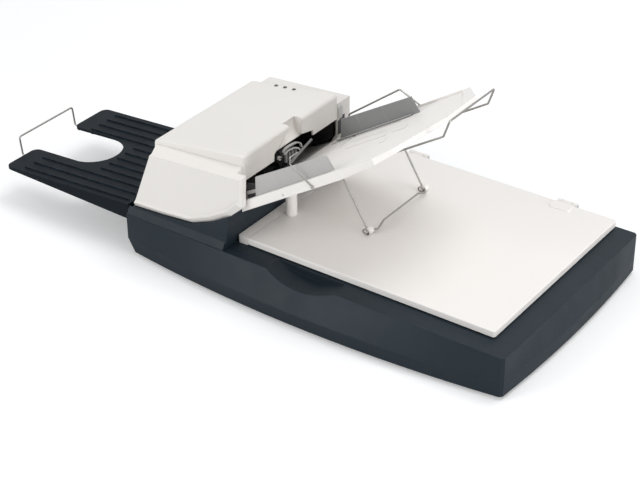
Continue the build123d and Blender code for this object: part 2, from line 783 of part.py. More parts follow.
# Scalloped recess in the edge of the roof and the raised part of the mouth below it
recess_curve = 30
recess_z = 215
recess_block = (19, 79, 29)
with BuildPart() as mouth_cut:
    with BuildSketch(Plane.YZ.offset(feeder_face - 4)):
        with BuildLine():
            Polyline(
                (-92.5, 170),
                (-90.5, 192.5),
                (-67, 208),
                (-47, 226),
                (-47, 240),
                (-21, 240),
                (-20.5, 196),
                (8.5, 190),
                (8.5, 170),
                close=True,
            )
        make_face()
    extrude(amount=20)
with BuildPart() as recess_cut:
    with Locations((-20, 0, 0)):
        add(mouth_cut.part)
    with Locations((feeder_face + recess_curve / 2, path_middle, recess_z)):
        Cylinder(recess_curve, through, rotation=(90, 0, 0), mode=Mode.INTERSECT)

# Roof of the feeder: a shell that swings up about pins at the exit end, with a
# scalloped recess above the rollers
ear_radius = 8
with BuildPart() as feeder_cover:
    with BuildSketch(Plane.XZ.offset(-roof_front)):
        with BuildLine():
            Polyline(
                (-303, 150), (-299, 199), (-290, 202), (-140, 223.5), (feeder_face, 223),
                (feeder_face, mouth_high), (-200, 176), (-260, 150), close=True,
            )
        make_face()
    extrude(amount=-(roof_rear - roof_front))
    fillet(feeder_cover.edges().filter_by(Axis.Y).sort_by(Axis.Z)[-3:], 5)
    fillet(
        feeder_cover.faces().sort_by(Axis.Z)[-1].edges().filter_by(
            Axis.X, reverse=True,
        ).filter_by(Axis.Y, reverse=True),
        3,
    )
    with BuildSketch(Plane.XZ.offset(-roof_front - wall)):
        with BuildLine():
            Polyline((-300, 140), (-296, 196), (-138, 219), (-133, 219), (-133, 140), close=True)
        make_face()
    extrude(amount=-(roof_rear - roof_front - 2 * wall), mode=Mode.SUBTRACT)
    with Locations((feeder_face, -56.5, 192)):
        Box(*recess_block, align=(Align.MAX, Align.CENTER, Align.MIN))
    add(mouth_cut.part, mode=Mode.SUBTRACT)
    add(recess_cut.part, mode=Mode.SUBTRACT)
    for y in (roof_front, roof_rear - wall):
        with BuildSketch(Plane.XZ.offset(-y)):
            with Locations((roof_pivot_x, roof_pivot_z)):
                Circle(ear_radius)
        extrude(amount=-wall)
    with Locations((roof_pivot_x, 0, roof_pivot_z)):
        Cylinder(roof_pin_radius + run_fit, through, rotation=(90, 0, 0), mode=Mode.SUBTRACT)
    add(indicator_lenses.part, mode=Mode.SUBTRACT)
save(feeder_cover, "feeder_cover")

# Upper scan head with its glass, carried in the roof
with BuildPart() as upper_scan_head:
    with Locations((scan_x, path_middle, upper_scan_low)):
        Box(24, 220, 50, align=(Align.CENTER, Align.CENTER, Align.MIN))
    with Locations((scan_x, path_middle, upper_scan_low)):
        Box(16, 214, 2, align=(Align.CENTER, Align.CENTER, Align.MIN), mode=Mode.SUBTRACT)
    with Locations((scan_x, path_middle, 152)):
        Box(60, roof_rear - roof_front - 2 * wall, 4, align=(Align.CENTER, Align.CENTER, Align.MIN))
save(upper_scan_head, "upper_scan_head")

with BuildPart() as upper_scan_glass:
    with Locations((scan_x, path_middle, upper_scan_low)):
        Box(16, 214, 2, align=(Align.CENTER, Align.CENTER, Align.MIN))
save(upper_scan_glass, "upper_scan_glass")

with BuildPart() as lower_scan_head:
    with Locations((scan_x, path_middle, lower_scan_top)):
        Box(24, 218, 26, align=(Align.CENTER, Align.CENTER, Align.MAX))
        Box(16, 214, 2, align=(Align.CENTER, Align.CENTER, Align.MAX), mode=Mode.SUBTRACT)
save(lower_scan_head, "lower_scan_head")

with BuildPart() as lower_scan_glass:
    with Locations((scan_x, path_middle, lower_scan_top)):
        Box(16, 214, 2, align=(Align.CENTER, Align.CENTER, Align.MAX))
save(lower_scan_glass, "lower_scan_glass")

# Pick arm and pick roller over the root of the tray
pick_z = 176
arm_pivot_x = -178
arm_pivot_z = 176
with BuildPart() as arm_shaft:
    with Locations((arm_pivot_x, path_middle, arm_pivot_z)):
        Cylinder(shaft_radius, roof_rear - roof_front - 2 * wall, rotation=(90, 0, 0))
save(arm_shaft, "arm_shaft")

with BuildPart() as pick_arm:
    for y in (pick_y - 20, pick_y + 20):
        with BuildSketch(Plane.XZ.offset(-y - 2)):
            with BuildLine():
                Polyline(
                    (arm_pivot_x - 6, arm_pivot_z - 6), (pick_x - 2, pick_z - 7),
                    (pick_x + 7, pick_z - 2), (pick_x + 6, pick_z + 7),
                    (arm_pivot_x - 3, arm_pivot_z + 8), close=True,
                )
            make_face()
        extrude(amount=4)
    with Locations((arm_pivot_x + 3, pick_y, arm_pivot_z + 2.5)):
        Box(18, 40, 4)
    with Locations((arm_pivot_x, pick_y, arm_pivot_z)):
        Cylinder(shaft_radius + run_fit, 60, rotation=(90, 0, 0), mode=Mode.SUBTRACT)
    with Locations((pick_x, pick_y, pick_z)):
        Cylinder(shaft_radius, 60, rotation=(90, 0, 0), mode=Mode.SUBTRACT)
        Cylinder(shaft_radius, 44, rotation=(90, 0, 0))
save(pick_arm, "pick_arm")

with BuildPart() as pick_roller:
    with Locations((pick_x, pick_y, pick_z)):
        Cylinder(pick_radius, 34, rotation=(90, 0, 0))
        Cylinder(shaft_radius + run_fit, 40, rotation=(90, 0, 0), mode=Mode.SUBTRACT)
save(pick_roller, "pick_roller")

# Separation pad lying in the bed under the pick roller
with BuildPart() as separation_pad:
    with BuildSketch(Plane.XZ.offset(-pick_y + 14)):
        with BuildLine():
            Polyline((-166, 122.2), (-142, 136.07), (-142, 137.3), (-166, 123.43), close=True)
        make_face()
    extrude(amount=-28)
save(separation_pad, "separation_pad")


# Plane of the sloping tray: local X runs up the slope, local Z stands on it
tray_plane = Plane(
    origin=(tray_left, 0, tray_under_z), x_dir=(0.84526, 0, 0.53435), z_dir=(-0.53435, 0, 0.84526),
)
tray_deep = 15
tray_floor = 12
tray_end = 344
tray_nose = 282
tray_rear_cut = 275


def wire(points, bend, radius=wire_radius):
    with BuildPart() as rod:
        with BuildLine() as path:
            FilletPolyline(*points, radius=bend)
        with BuildSketch(Plane(origin=path.line @ 0, z_dir=path.line % 0)):
            Circle(radius)
        sweep()
    return rod.part


pocket_start = 34
pocket_end = 190
front_slot_u = 45
rear_slot_u = 70
slot_width = 6
guide_travel = 56
pinion_u = 60
pinion_y = -60.5
pinion_radius = 8.2
hinge_ys = (-68, 72)
hinge_tab = 8
tray_pin_x = -117
tray_pin_z = 150
stand_lug_ys = (-38, 84)
stand_leg_ys = (-48, 106)
stand_foot_x = 11
clip_radius = 5.5
stand_pivot_u = 94
stand_pivot_w = 5
stand_x = tray_left + stand_pivot_u * 0.84526 - stand_pivot_w * 0.53435
stand_z = tray_under_z + stand_pivot_u * 0.53435 + stand_pivot_w * 0.84526
foot_z = cover_high + clip_radius + 0.3
rim_y = tray_rear - 2.5
ext_ys = (-103, 16)
ext_w = -2.5
ext_start = 150
ext_bend = 353
ext_top = 375
ext_top_w = 15


def slope(u, y, w):
    return (tray_left + u * 0.84526 - w * 0.53435, y, tray_under_z + u * 0.53435 + w * 0.84526)


# Wire guard over the rear edge, standing in the rim
with BuildPart() as wire_guard:
    add(
        wire(
            (
                (-118, rim_y, 148), (-118, rim_y, 186), (-24, rim_y, 257), (16, rim_y, 240),
                (16, rim_y, 232),
            ),
            5,
        )
    )
save(wire_guard, "wire_guard")

# Wire stand from the underside of the tray down to the cover
with BuildPart() as stand_wire:
    add(
        wire(
            (
                (stand_x, stand_lug_ys[0] + 5, stand_z),
                (stand_x, stand_leg_ys[0], stand_z),
                (stand_foot_x, stand_leg_ys[0], foot_z),
                (stand_foot_x + 12, stand_leg_ys[0] + 10, foot_z),
                (stand_foot_x + 10, stand_leg_ys[0] + 30, foot_z + 6),
                (stand_foot_x + 10, stand_leg_ys[1] - 30, foot_z + 6),
                (stand_foot_x + 12, stand_leg_ys[1] - 10, foot_z),
                (stand_foot_x, stand_leg_ys[1], foot_z),
                (stand_x, stand_leg_ys[1], stand_z),
                (stand_x, stand_lug_ys[1] - 4, stand_z),
            ),
            3,
        )
    )
save(stand_wire, "stand_wire")

with BuildPart() as stand_clips:
    for y in stand_leg_ys:
        with Locations((stand_foot_x + 4, y, foot_z)):
            Cylinder(clip_radius, 9, rotation=(90, 0, 0))
    fillet(stand_clips.edges().filter_by(GeomType.CIRCLE), 1)
    add(stand_wire.part, mode=Mode.SUBTRACT)
save(stand_clips, "stand_clips")
with BuildPart() as input_tray:
    with BuildSketch(tray_plane):
        with BuildLine():
            Polyline(
                (0, tray_front), (tray_nose, tray_front), (tray_nose + 22, tray_front + 22),
                (tray_end, -66), (tray_end - 3, 14), (tray_rear_cut, tray_rear), (0, tray_rear),
                close=True,
            )
        make_face()
    extrude(amount=tray_deep)
    with BuildSketch(tray_plane.offset(tray_floor)):
        with BuildLine():
            Polyline(
                (-1, tray_front + 6), (tray_nose - 8, tray_front + 6), (tray_end - 40, -90),
                (tray_end - 20, 0), (tray_end - 60, 60), (tray_rear_cut - 12, tray_rear - 5),
                (-1, tray_rear - 5), close=True,
            )
        make_face()
    extrude(amount=10, mode=Mode.SUBTRACT)
    with BuildSketch(tray_plane):
        with Locations(((pocket_start + pocket_end) / 2, (tray_front + tray_rear) / 2)):
            Rectangle(pocket_end - pocket_start, tray_rear - tray_front - 2 * wall)
    extrude(amount=tray_floor - wall, mode=Mode.SUBTRACT)
    with BuildSketch(Plane(origin=tray_plane.origin, x_dir=tray_plane.x_dir, z_dir=(0, -1, 0))):
        with BuildLine():
            Polyline((pocket_end + 8, -1), (tray_end + 1, 9), (tray_end + 1, -1), close=True)
        make_face()
    extrude(amount=through / 2, both=True, mode=Mode.SUBTRACT)
    for u, y_far, y_near in (
        (front_slot_u, tray_front + 6, tray_front + 14 + guide_travel),
        (rear_slot_u, guide_rear_y - guide_travel - 3, guide_rear_y + 6),
    ):
        with BuildSketch(tray_plane):
            with Locations((u, (y_far + y_near) / 2)):
                Rectangle(slot_width, y_near - y_far)
        extrude(amount=tray_deep, mode=Mode.SUBTRACT)
    for y in stand_lug_ys:
        with BuildSketch(tray_plane.offset(1)):
            with Locations((stand_pivot_u, y)):
                Rectangle(12, 10)
        extrude(amount=tray_floor - 2)
    with BuildSketch(tray_plane.offset(3.5)):
        with Locations((pinion_u, pinion_y)):
            Circle(pulley_bore)
    extrude(amount=tray_floor - 5)
    with Locations((stand_x, 0, stand_z)):
        Cylinder(wire_radius + run_fit, through, rotation=(90, 0, 0), mode=Mode.SUBTRACT)
    add(wire_guard.part, mode=Mode.SUBTRACT)
    for y in hinge_ys:
        with Locations((tray_left - 1, y, tray_pin_z - 40)):
            Box(22, hinge_tab + 1, 46.5, align=(Align.MIN, Align.CENTER, Align.MIN), mode=Mode.SUBTRACT)
        with Locations((tray_pin_x, y, tray_pin_z)):
            Cylinder(tray_pin_radius + run_fit, 24, rotation=(90, 0, 0), mode=Mode.SUBTRACT)
    for u, top in ((pocket_end + 5, 0), (236, 3)):
        for y in ext_ys:
            with BuildSketch(tray_plane.offset(-5)):
                with Locations((u, y)):
                    Rectangle(6, 9)
            extrude(amount=5 + top)
            with BuildSketch(
                Plane(origin=slope(u - 4, y, ext_w), x_dir=(0, 1, 0), z_dir=tray_plane.x_dir)
            ):
                Circle(wire_radius + run_fit)
            extrude(amount=8, mode=Mode.SUBTRACT)
    with Locations((tray_left, 0, tray_under_z)):
        Box(20, through, 60, align=(Align.MAX, Align.CENTER, Align.CENTER), mode=Mode.SUBTRACT)
save(input_tray, "input_tray")

# Posts on the cover with the pins of the tray hinge
with BuildPart() as tray_posts:
    for y in hinge_ys:
        with Locations((tray_pin_x, y, cover_high)):
            Cylinder(9, 46, align=(Align.CENTER, Align.CENTER, Align.MIN))
        with Locations((tray_pin_x, y, cover_high + 40)):
            Box(
                9, hinge_tab, tray_pin_z - cover_high - 40,
                align=(Align.CENTER, Align.CENTER, Align.MIN),
            )
        with Locations((tray_pin_x, y, tray_pin_z)):
            Cylinder(4.5, hinge_tab, rotation=(90, 0, 0))
            Cylinder(tray_pin_radius, 23.8, rotation=(90, 0, 0))
save(tray_posts, "tray_posts")

with BuildPart() as clip_pins:
    for y in stand_leg_ys:
        with Locations(
            (stand_foot_x + 5, y - 5.75, foot_z - 3.5), (stand_foot_x + 5, y + 5.75, foot_z - 3.5),
        ):
            Cylinder(1.2, 2.5, rotation=(90, 0, 0))
save(clip_pins, "clip_pins")

# Side guides with the racks and the pinion that keep them centred
guide_shape = ((-105, 163.3), (38, 253.7), (22, 275), (-105, 199))
rack_low = 4.6
rack_high = 8.6
rack_gap = 0.4
rack_width = 9
tongue = slot_width - 0.8


def guide(y, slot_u, rack_u, rack_from, rack_to):
    with BuildPart() as piece:
        with BuildSketch(Plane.XZ.offset(-y)):
            with BuildLine():
                Polyline(*guide_shape, close=True)
            make_face()
        extrude(amount=-guide_thick)
        with BuildSketch(tray_plane.offset(rack_low)):
            with Locations((slot_u, y + guide_thick / 2)):
                Rectangle(tongue, guide_thick)
        extrude(amount=tray_floor - rack_low + 1)
        with BuildSketch(tray_plane.offset(rack_low)):
            with Locations((rack_u, (rack_from + rack_to) / 2)):
                Rectangle(rack_width, rack_to - rack_from)
        extrude(amount=rack_high - rack_low)
    return piece.part


front_rack_u = pinion_u - pinion_radius - rack_gap - rack_width / 2
rear_rack_u = pinion_u + pinion_radius + rack_gap + rack_width / 2
guide_front_face = tray_front + 6.5
with BuildPart() as front_guide:
    add(guide(guide_front_face, front_slot_u, front_rack_u, guide_front_face, pinion_y + 11))
save(front_guide, "front_guide")

with BuildPart() as rear_guide:
    add(guide(guide_rear_y, rear_slot_u, rear_rack_u, pinion_y - 11, guide_rear_y + guide_thick))
save(rear_guide, "rear_guide")

with BuildPart() as guide_pinion:
    with BuildSketch(tray_plane.offset(rack_low)):
        with Locations((pinion_u, pinion_y)):
            Circle(pinion_radius)
            Circle(pulley_bore + run_fit, mode=Mode.SUBTRACT)
            with PolarLocations(pinion_radius, 14):
                Rectangle(1.6, 1.8, mode=Mode.SUBTRACT)
    extrude(amount=rack_high - rack_low)
save(guide_pinion, "guide_pinion")

# Wire extension sliding in clips under the tray
with BuildPart() as tray_wire:
    add(
        wire(
            (
                slope(ext_start, ext_ys[0], ext_w),
                slope(ext_bend, ext_ys[0], ext_w),
                slope(ext_top, ext_ys[0], ext_top_w),
                slope(ext_top, ext_ys[1], ext_top_w),
                slope(ext_bend, ext_ys[1], ext_w),
                slope(ext_start, ext_ys[1], ext_w),
            ),
            4,
        )
    )
save(tray_wire, "tray_wire")

# Hold-down wire over the front guide, with its small knob
hold_y = tray_front - 1.5
hold_top_x = -34.6
with BuildPart() as hold_wire:
    add(
        wire(
            (
                (3.7, tray_front + 2, 219),
                (3.7, hold_y, 222),
                (hold_top_x, hold_y, 246.6),
                (hold_top_x, hold_y, 258),
                (hold_top_x, hold_y + 18, 258),
            ),
            1.5,
            hold_wire_radius,
        )
    )
    with Locations((3.7, hold_y, 222)):
        Sphere(2.4)
    add(input_tray.part, mode=Mode.SUBTRACT)
save(hold_wire, "hold_wire")


# Output tray: wedge-sided plate with a notch between two prongs, ribbed on top,
# with clips for the wire stop under the prong ends
out_length = base_left - out_tip_x
out_root_low = out_root_z - out_skirt
out_tip_z = out_root_z - out_fall
notch_end = -468
notch_front = -123
notch_rear = -30
notch_radius = (notch_rear - notch_front) / 2
notch_middle = (notch_front + notch_rear) / 2

stop_ys = (-145, -17)
stop_tilt_z = 27
stop_x = -614
stop_in = -520
clip_xs = (out_tip_x + 33, out_tip_x + 15)
prong_round = 12
stop_low = out_tip_z - out_plate - 3


def out_top(x):
    return out_root_z - out_fall * (base_left - x) / out_length


with BuildPart() as output_tray:
    with BuildSketch(Plane.XZ.offset(-out_front)):
        with BuildLine():
            Polyline(
                (base_left, out_root_z), (base_left, out_root_low), (out_tip_x, out_tip_z - 4),
                (out_tip_x, out_tip_z), close=True,
            )
        make_face()
    extrude(amount=-(out_rear - out_front))
    with BuildSketch(Plane.XZ.offset(-out_front - wall)):
        with BuildLine():
            Polyline(
                (base_left - wall, out_root_z - out_plate), (base_left - wall, out_root_low - 1),
                (out_tip_x + 12, out_tip_z - 8), (out_tip_x + 12, out_tip_z - out_plate - 0.5),
                close=True,
            )
        make_face()
    extrude(amount=-(out_rear - out_front - 2 * wall), mode=Mode.SUBTRACT)
    with BuildSketch(Plane.XY.offset(30)) as plan:
        with Locations(((base_left + out_tip_x) / 2, (out_front + out_rear) / 2)):
            Rectangle(out_length, out_rear - out_front)
        with Locations(((notch_end - notch_radius + out_tip_x - 60) / 2, notch_middle)):
            Rectangle(
                notch_end - notch_radius - out_tip_x + 60, notch_rear - notch_front,
                mode=Mode.SUBTRACT,
            )
        with Locations((notch_end - notch_radius, notch_middle)):
            Circle(notch_radius, mode=Mode.SUBTRACT)
        fillet(plan.vertices().sort_by(Axis.X)[:4], prong_round)
    extrude(amount=90, mode=Mode.INTERSECT)
    for i in range(rib_count):
        y = out_front + 12 + i * (out_rear - out_front - 24) / (rib_count - 1)
        start = base_left - 8
        in_notch = notch_front - 5 < y < notch_rear + 5
        end = notch_end + 8 if in_notch else out_tip_x + 34
        with BuildSketch(Plane.XZ.offset(-y + 1)):
            with BuildLine():
                Polyline(
                    (start, out_top(start) - 1), (end, out_top(end) - 1),
                    (end, out_top(end) + rib_height), (start, out_top(start) + rib_height),
                    close=True,
                )
            make_face()
        extrude(amount=-2)
    for x in clip_xs:
        for y in stop_ys:
            with Locations((x, y, stop_low - 2.5)):
                Box(
                    6, 9, out_top(x) - out_plate + 0.5 - stop_low + 2.5,
                    align=(Align.CENTER, Align.CENTER, Align.MIN),
                )
    for y in stop_ys:
        with Locations((sum(clip_xs) / 2, y, stop_low)):
            Cylinder(wire_radius + run_fit, 60, rotation=(0, 90, 0), mode=Mode.SUBTRACT)
save(output_tray, "output_tray")

# Wire stop sliding in the prong ends
with BuildPart() as output_stop:
    add(
        wire(
            (
                (stop_in, stop_ys[0], stop_low),
                (stop_x, stop_ys[0], stop_low),
                (stop_x - 4, stop_ys[0], stop_low + stop_tilt_z + 6),
                (stop_x - 4, stop_ys[1], stop_low + stop_tilt_z + 6),
                (stop_x, stop_ys[1], stop_low),
                (stop_in, stop_ys[1], stop_low),
            ),
            4,
        )
    )
save(output_stop, "output_stop")
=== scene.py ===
import json
import math

import bmesh
import bpy
from mathutils import Matrix, Vector


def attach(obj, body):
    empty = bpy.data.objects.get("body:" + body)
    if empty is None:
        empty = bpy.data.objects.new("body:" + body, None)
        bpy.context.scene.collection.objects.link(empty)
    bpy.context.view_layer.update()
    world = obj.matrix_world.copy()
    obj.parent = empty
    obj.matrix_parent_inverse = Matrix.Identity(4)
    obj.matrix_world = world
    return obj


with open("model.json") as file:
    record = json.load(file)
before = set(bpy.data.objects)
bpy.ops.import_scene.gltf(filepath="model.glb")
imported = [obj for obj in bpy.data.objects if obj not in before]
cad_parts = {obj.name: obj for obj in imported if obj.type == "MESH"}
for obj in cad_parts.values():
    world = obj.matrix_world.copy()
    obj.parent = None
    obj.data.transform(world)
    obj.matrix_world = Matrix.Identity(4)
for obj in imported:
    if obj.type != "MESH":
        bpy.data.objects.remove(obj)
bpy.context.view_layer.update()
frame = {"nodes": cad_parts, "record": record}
nodes = frame["nodes"]

# Camera, from the straight edges of the base, cover and feeder in the photo
AZIMUTH = math.radians(35.864)
ELEVATION = math.radians(31.884)
ROLL = math.radians(-0.6)
DISTANCE = 2.68886
AIM = Vector((-0.05484, -0.07995, 0.06186))
FOCAL_PIXELS = 1760.41
IMAGE_WIDTH = 640
SENSOR = 36.0


def make_camera():
    back = Vector(
        (
            math.sin(AZIMUTH) * math.cos(ELEVATION),
            -math.cos(AZIMUTH) * math.cos(ELEVATION),
            math.sin(ELEVATION),
        )
    )
    flat_right = (-back).cross(Vector((0, 0, 1))).normalized()
    flat_up = flat_right.cross(-back)
    right = flat_right * math.cos(ROLL) + flat_up * math.sin(ROLL)
    up = flat_up * math.cos(ROLL) - flat_right * math.sin(ROLL)
    data = bpy.data.cameras.new("camera")
    data.sensor_width = SENSOR
    data.lens = SENSOR * FOCAL_PIXELS / IMAGE_WIDTH
    data.clip_end = 50
    camera = bpy.data.objects.new("camera", data)
    turn = Matrix((right, up, back)).transposed().to_4x4()
    camera.matrix_world = Matrix.Translation(AIM + back * DISTANCE) @ turn
    bpy.context.scene.collection.objects.link(camera)
    bpy.context.scene.camera = camera


# Materials
def srgb(r, g, b):
    def line(v):
        v = v / 255
        return v / 12.92 if v <= 0.04045 else ((v + 0.055) / 1.055) ** 2.4

    return (line(r), line(g), line(b), 1.0)


def shade(colour, factor):
    return tuple(min(1.0, c * factor) for c in colour[:3]) + (1.0,)


class Maker:
    """A small helper that adds and links nodes of one material."""

    def __init__(self, name):
        self.material = bpy.data.materials.new(name)
        self.material.use_nodes = True
        self.tree = self.material.node_tree
        self.tree.nodes.clear()
        self.output = self.node("ShaderNodeOutputMaterial")
        self.shader = self.node("ShaderNodeBsdfPrincipled")
        self.link(self.shader.outputs[0], self.output.inputs["Surface"])
        self.coords = self.node("ShaderNodeTexCoord")

    def node(self, kind, **values):
        made = self.tree.nodes.new(kind)
        for key, value in values.items():
            setattr(made, key, value)
        return made

    def link(self, a, b):
        self.tree.links.new(a, b)

    def place(self, scale=(1, 1, 1)):
        mapping = self.node("ShaderNodeMapping")
        mapping.inputs["Scale"].default_value = scale
        self.link(self.coords.outputs["Object"], mapping.inputs["Vector"])
        return mapping.outputs["Vector"]

    def noise(self, scale, detail=3.0, roughness=0.55, stretch=(1, 1, 1)):
        noise = self.node("ShaderNodeTexNoise")
        noise.inputs["Scale"].default_value = scale
        noise.inputs["Detail"].default_value = detail
        noise.inputs["Roughness"].default_value = roughness
        self.link(self.place(stretch), noise.inputs["Vector"])
        return noise.outputs["Fac"]

    def spread(self, value, low, high, start=0.3, end=0.7):
        spread = self.node("ShaderNodeMapRange")
        spread.inputs["From Min"].default_value = start
        spread.inputs["From Max"].default_value = end
        spread.inputs["To Min"].default_value = low
        spread.inputs["To Max"].default_value = high
        self.link(value, spread.inputs["Value"])
        return spread.outputs["Result"]

    def mix(self, fac, first, second):
        mix = self.node("ShaderNodeMix", data_type="RGBA")
        self.link(fac, mix.inputs["Factor"])
        for value, socket in ((first, mix.inputs["A"]), (second, mix.inputs["B"])):
            if isinstance(value, tuple):
                socket.default_value = value
            else:
                self.link(value, socket)
        return mix.outputs["Result"]

    def edge(self, radius):
        """A factor of 1 on the edges and 0 on flat faces, where plastic() paints edge highlights
        and wear, and the normal rounded over them.
        """
        bevel = self.node("ShaderNodeBevel")
        bevel.samples = 4
        bevel.inputs["Radius"].default_value = radius
        geometry = self.node("ShaderNodeNewGeometry")
        dot = self.node("ShaderNodeVectorMath", operation="DOT_PRODUCT")
        self.link(bevel.outputs["Normal"], dot.inputs[0])
        self.link(geometry.outputs["Normal"], dot.inputs[1])
        return self.spread(dot.outputs["Value"], 1.0, 0.0, 0.72, 0.99), bevel.outputs["Normal"]

    def bump(self, height, strength, distance, normal=None):
        bump = self.node("ShaderNodeBump")
        bump.inputs["Strength"].default_value = strength
        bump.inputs["Distance"].default_value = distance
        self.link(height, bump.inputs["Height"])
        if normal is not None:
            self.link(normal, bump.inputs["Normal"])
        self.link(bump.outputs["Normal"], self.shader.inputs["Normal"])


def plastic(name, colour, rough, grain, depth, edge, edge_highlight_and_wear, specular, cloud):
    """Moulded plastic: fine grain, faint clouding, and edges whose colour is scaled in patches, a
    painted highlight where the factor lightens them, together with wear.
    """
    m = Maker(name)
    broad = m.noise(6, 4)
    fine = m.noise(grain, 2, 0.7)
    edge_wear_highlight_mask, rounded = m.edge(edge)
    base = m.mix(m.spread(broad, 0, 1), shade(colour, 1 - cloud), shade(colour, 1 + cloud))
    # Along the edges the colour is scaled in patches: above 1 this is a painted highlight for light
    # caught on the rims, mixed with wear
    highlit_and_rubbed = m.mix(m.spread(m.noise(90, 4), 0.0, 1.0, 0.42, 0.62), base, shade(colour, edge_highlight_and_wear))
    m.link(m.mix(edge_wear_highlight_mask, base, highlit_and_rubbed), m.shader.inputs["Base Color"])
    m.link(m.spread(m.noise(30, 5), rough - 0.05, rough + 0.06), m.shader.inputs["Roughness"])
    m.shader.inputs["Specular IOR Level"].default_value = specular
    m.bump(fine, depth, 0.00006, rounded)
    return m.material


def metal(name, colour, rough=0.28, stretch=(1, 1, 1), scale=700):
    m = Maker(name)
    m.shader.inputs["Metallic"].default_value = 1.0
    streak = m.noise(scale, 3, 0.6, stretch)
    tone = m.mix(m.spread(streak, 0, 1), shade(colour, 0.86), shade(colour, 1.08))
    m.link(tone, m.shader.inputs["Base Color"])
    m.link(m.spread(m.noise(60, 4), rough - 0.06, rough + 0.08), m.shader.inputs["Roughness"])
    m.bump(streak, 0.15, 0.00003)
    return m.material


def rubber(name, colour, rough=0.75, scale=900, depth=0.4):
    m = Maker(name)
    fine = m.noise(scale, 4, 0.7)
    dust = m.spread(m.noise(35, 5), 0, 1, 0.45, 0.75)
    m.link(m.mix(dust, colour, shade(colour, 1.6)), m.shader.inputs["Base Color"])
    m.link(m.spread(fine, rough - 0.08, rough + 0.1), m.shader.inputs["Roughness"])
    m.bump(fine, depth, 0.0001)
    return m.material


def glass(name, colour, rough=0.03):
    m = Maker(name)
    m.shader.inputs["Transmission Weight"].default_value = 0.92
    m.shader.inputs["IOR"].default_value = 1.5
    smear = m.noise(18, 5)
    m.link(m.mix(m.spread(smear, 0, 1), colour, shade(colour, 0.96)), m.shader.inputs["Base Color"])
    m.link(m.spread(smear, rough, rough + 0.04), m.shader.inputs["Roughness"])
    m.bump(m.noise(9, 2), 0.02, 0.0002)
    return m.material


BASE = srgb(33, 42, 49)
TRAY = srgb(12, 21, 28)
FEEDER = srgb(229, 225, 220)
COVER = srgb(238, 234, 230)

# Edge factors above 1, strongest on the output tray, paint highlights along the edges of the dark
# plastics
materials = {
    "base_dark": plastic(
        "base_plastic", BASE, rough=0.42, grain=900, depth=0.5, edge=0.0012, edge_highlight_and_wear=2.4,
        specular=0.16, cloud=0.07,
    ),
    "tray_dark": plastic(
        "output_tray_plastic", TRAY, rough=0.5, grain=900, depth=0.5, edge=0.0018, edge_highlight_and_wear=6.5,
        specular=0.1, cloud=0.07,
    ),
    "feeder_white": plastic(
        "feeder_plastic", FEEDER, rough=0.4, grain=1500, depth=0.2, edge=0.0016, edge_highlight_and_wear=0.97,
        specular=0.5, cloud=0.015,
    ),
    "cover_white": plastic(
        "cover_plastic", COVER, rough=0.42, grain=1500, depth=0.2, edge=0.0012, edge_highlight_and_wear=0.97,
        specular=0.45, cloud=0.012,
    ),
    "pad_white": plastic(
        "pad_sheet", srgb(238, 238, 236), rough=0.7, grain=500, depth=0.2, edge=0.0006,
        edge_highlight_and_wear=0.98, specular=0.2, cloud=0.01,
    ),
    "guide_light": plastic(
        "front_guide_plastic", srgb(182, 180, 178), rough=0.38, grain=1300, depth=0.2,
        edge=0.0006, edge_highlight_and_wear=1.1, specular=0.5, cloud=0.03,
    ),
    # The rear guide is the front guide's plastic painted a darker grey for the shade it lies in;
    # this grey also goes on the mechanism pieces and the tray's shade line
    "guide_dark": plastic(
        "rear_guide_plastic_painted_shade", srgb(142, 142, 142), rough=0.38, grain=1300, depth=0.2,
        edge=0.0006, edge_highlight_and_wear=1.1, specular=0.5, cloud=0.03,
    ),
    "mech_dark": plastic(
        "mechanism_plastic", srgb(44, 44, 46), rough=0.45, grain=900, depth=0.3, edge=0.0005,
        edge_highlight_and_wear=1.6, specular=0.5, cloud=0.08,
    ),
    "peg_grey": plastic(
        "peg_plastic", srgb(196, 195, 193), rough=0.45, grain=1300, depth=0.2, edge=0.0008,
        edge_highlight_and_wear=1.05, specular=0.5, cloud=0.03,
    ),
    "lens_dark": plastic(
        "lens_plastic", srgb(66, 68, 72), rough=0.12, grain=400, depth=0.05, edge=0.0004,
        edge_highlight_and_wear=1.3, specular=0.6, cloud=0.1,
    ),
    "roller_rubber": rubber("roller_rubber", srgb(38, 38, 40)),
    "foot_rubber": rubber("foot_rubber", srgb(40, 41, 43)),
    "belt_rubber": rubber("belt_rubber", srgb(34, 34, 35), rough=0.7, scale=1200, depth=0.6),
    "wire_steel": metal(
        "wire_steel", srgb(160, 157, 153), rough=0.34, stretch=(1, 1, 1), scale=900,
    ),
    "shaft_steel": metal(
        "shaft_steel", srgb(200, 200, 200), rough=0.2, stretch=(1, 14, 14), scale=200,
    ),
    "motor_steel": plastic(
        "motor_paint", srgb(60, 60, 63), rough=0.35, grain=800, depth=0.3, edge=0.0006,
        edge_highlight_and_wear=1.7, specular=0.5, cloud=0.06,
    ),
    "board_green": plastic(
        "board_mask", srgb(38, 96, 66), rough=0.32, grain=600, depth=0.35, edge=0.0003,
        edge_highlight_and_wear=1.2, specular=0.5, cloud=0.12,
    ),
    "chip_black": plastic(
        "chip_plastic", srgb(42, 42, 44), rough=0.5, grain=1100, depth=0.3, edge=0.0005,
        edge_highlight_and_wear=1.5, specular=0.4, cloud=0.06,
    ),
    "glass": glass("platen_glass", (0.93, 0.97, 0.96, 1)),
    "lamp_glass": glass("lamp_glass", (0.97, 0.97, 0.95, 1), rough=0.25),
    "brass_metal": metal(
        "pulley_brass", srgb(205, 170, 96), rough=0.25, stretch=(12, 12, 1), scale=260,
    ),
}

for part in frame["record"]["subparts"]:
    thing = nodes[part["node"]]
    if not thing.material_slots:
        thing.data.materials.append(None)
    for slot in thing.material_slots:
        slot.material = materials[part["material_slot"]]


SHARP_ANGLE = math.radians(28)


